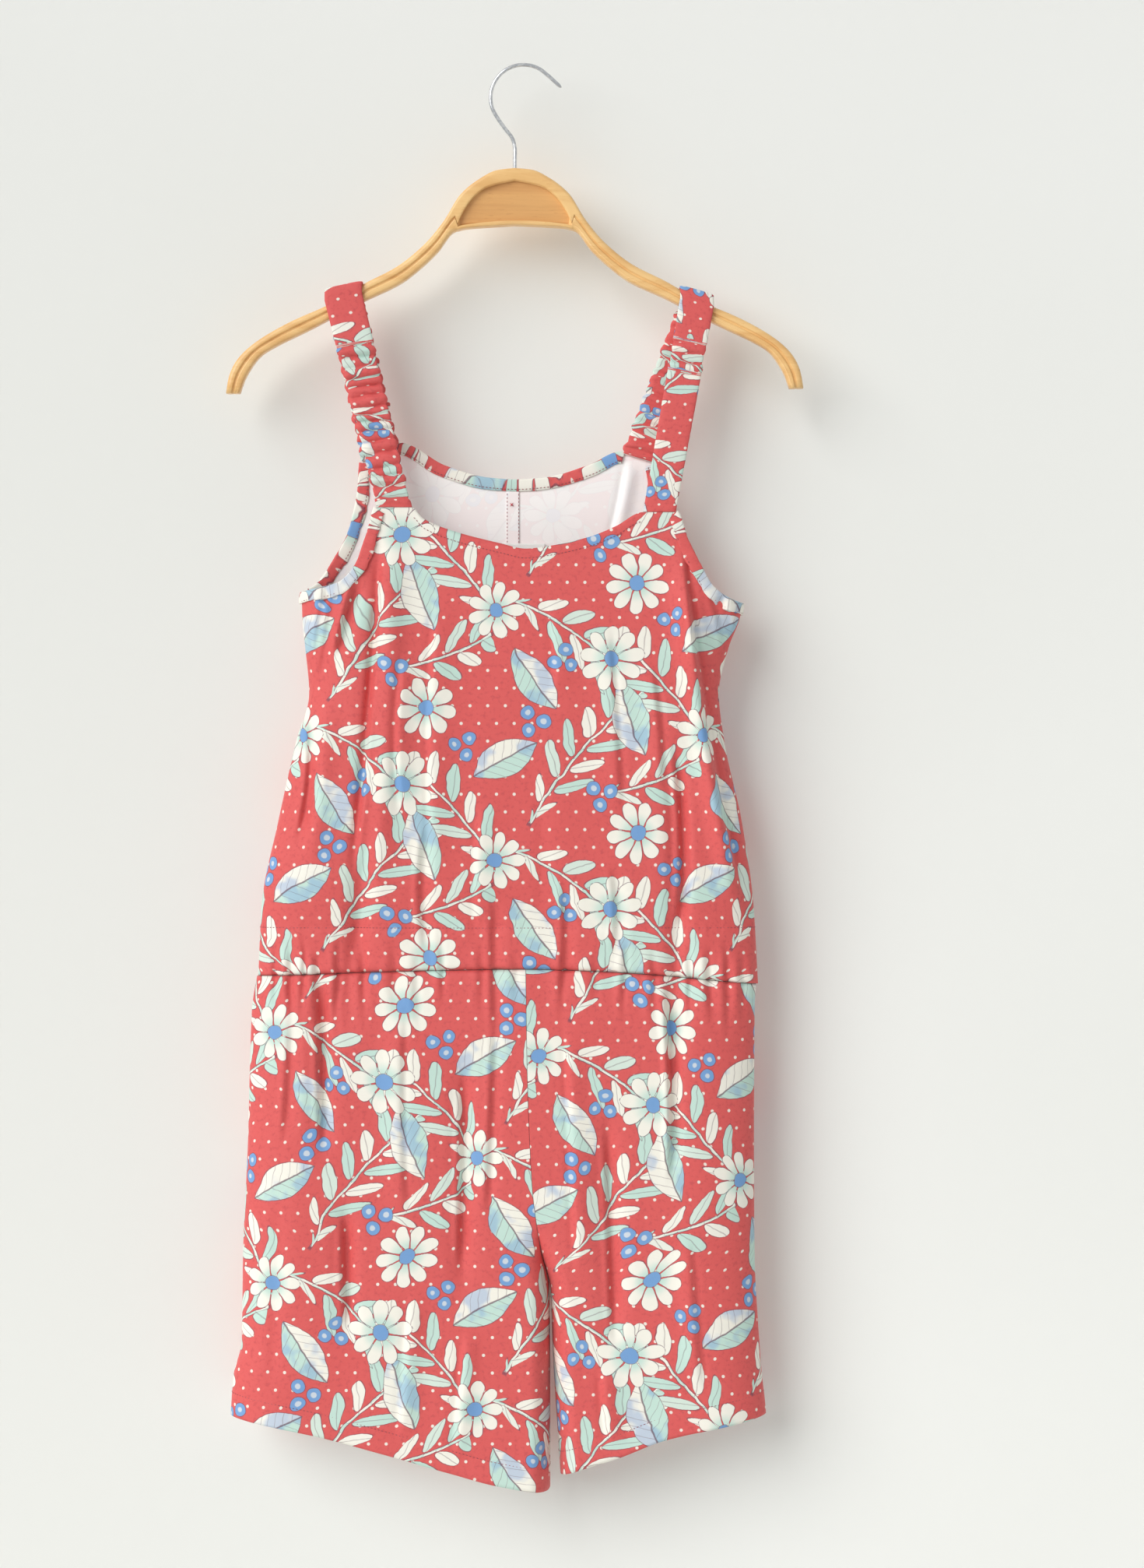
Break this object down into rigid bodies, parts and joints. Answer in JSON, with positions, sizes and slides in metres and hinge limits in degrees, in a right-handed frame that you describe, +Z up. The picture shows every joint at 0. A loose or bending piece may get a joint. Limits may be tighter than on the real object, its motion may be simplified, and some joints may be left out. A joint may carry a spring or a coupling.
{
  "type": "sleeveless romper on a wooden hanger",
  "caption": "Sleeveless printed romper with gathered straps, elastic waist and short legs, hung flat on a wooden hanger with a wire hook.",
  "frame": {"origin": "inside of the hook's crown, where a rail or peg carries the hanger", "axes": "+Z up, -Y towards the viewer of the garment's front, +X to the viewer's right"},
  "size_m": [0.428, 0.0494, 1.0558],
  "materials": {
    "hanger_wood": "pale yellow wood with a satin lacquer",
    "panel_wood": "darker fine-grained wood, satin",
    "hook_steel": "bright plated wire",
    "printed_cloth": "soft matt viscose with a coral, cream, mint and blue leaf and flower print",
    "label_cloth": "blank woven tape"
  },
  "bodies": {
    "root": {"hanger_frame": "hanger_wood", "hanger_panel": "panel_wood", "hook": "hook_steel", "front_bodice": "printed_cloth", "back_bodice_left": "printed_cloth", "back_bodice_right": "printed_cloth", "front_leg_left": "printed_cloth", "front_leg_right": "printed_cloth", "back_leg_left": "printed_cloth", "back_leg_right": "printed_cloth", "strap_left": "printed_cloth", "strap_right": "printed_cloth", "neck_binding": "printed_cloth", "armhole_binding_left": "printed_cloth", "armhole_binding_right": "printed_cloth", "neck_label": "label_cloth"}
  },
  "joints": []
}
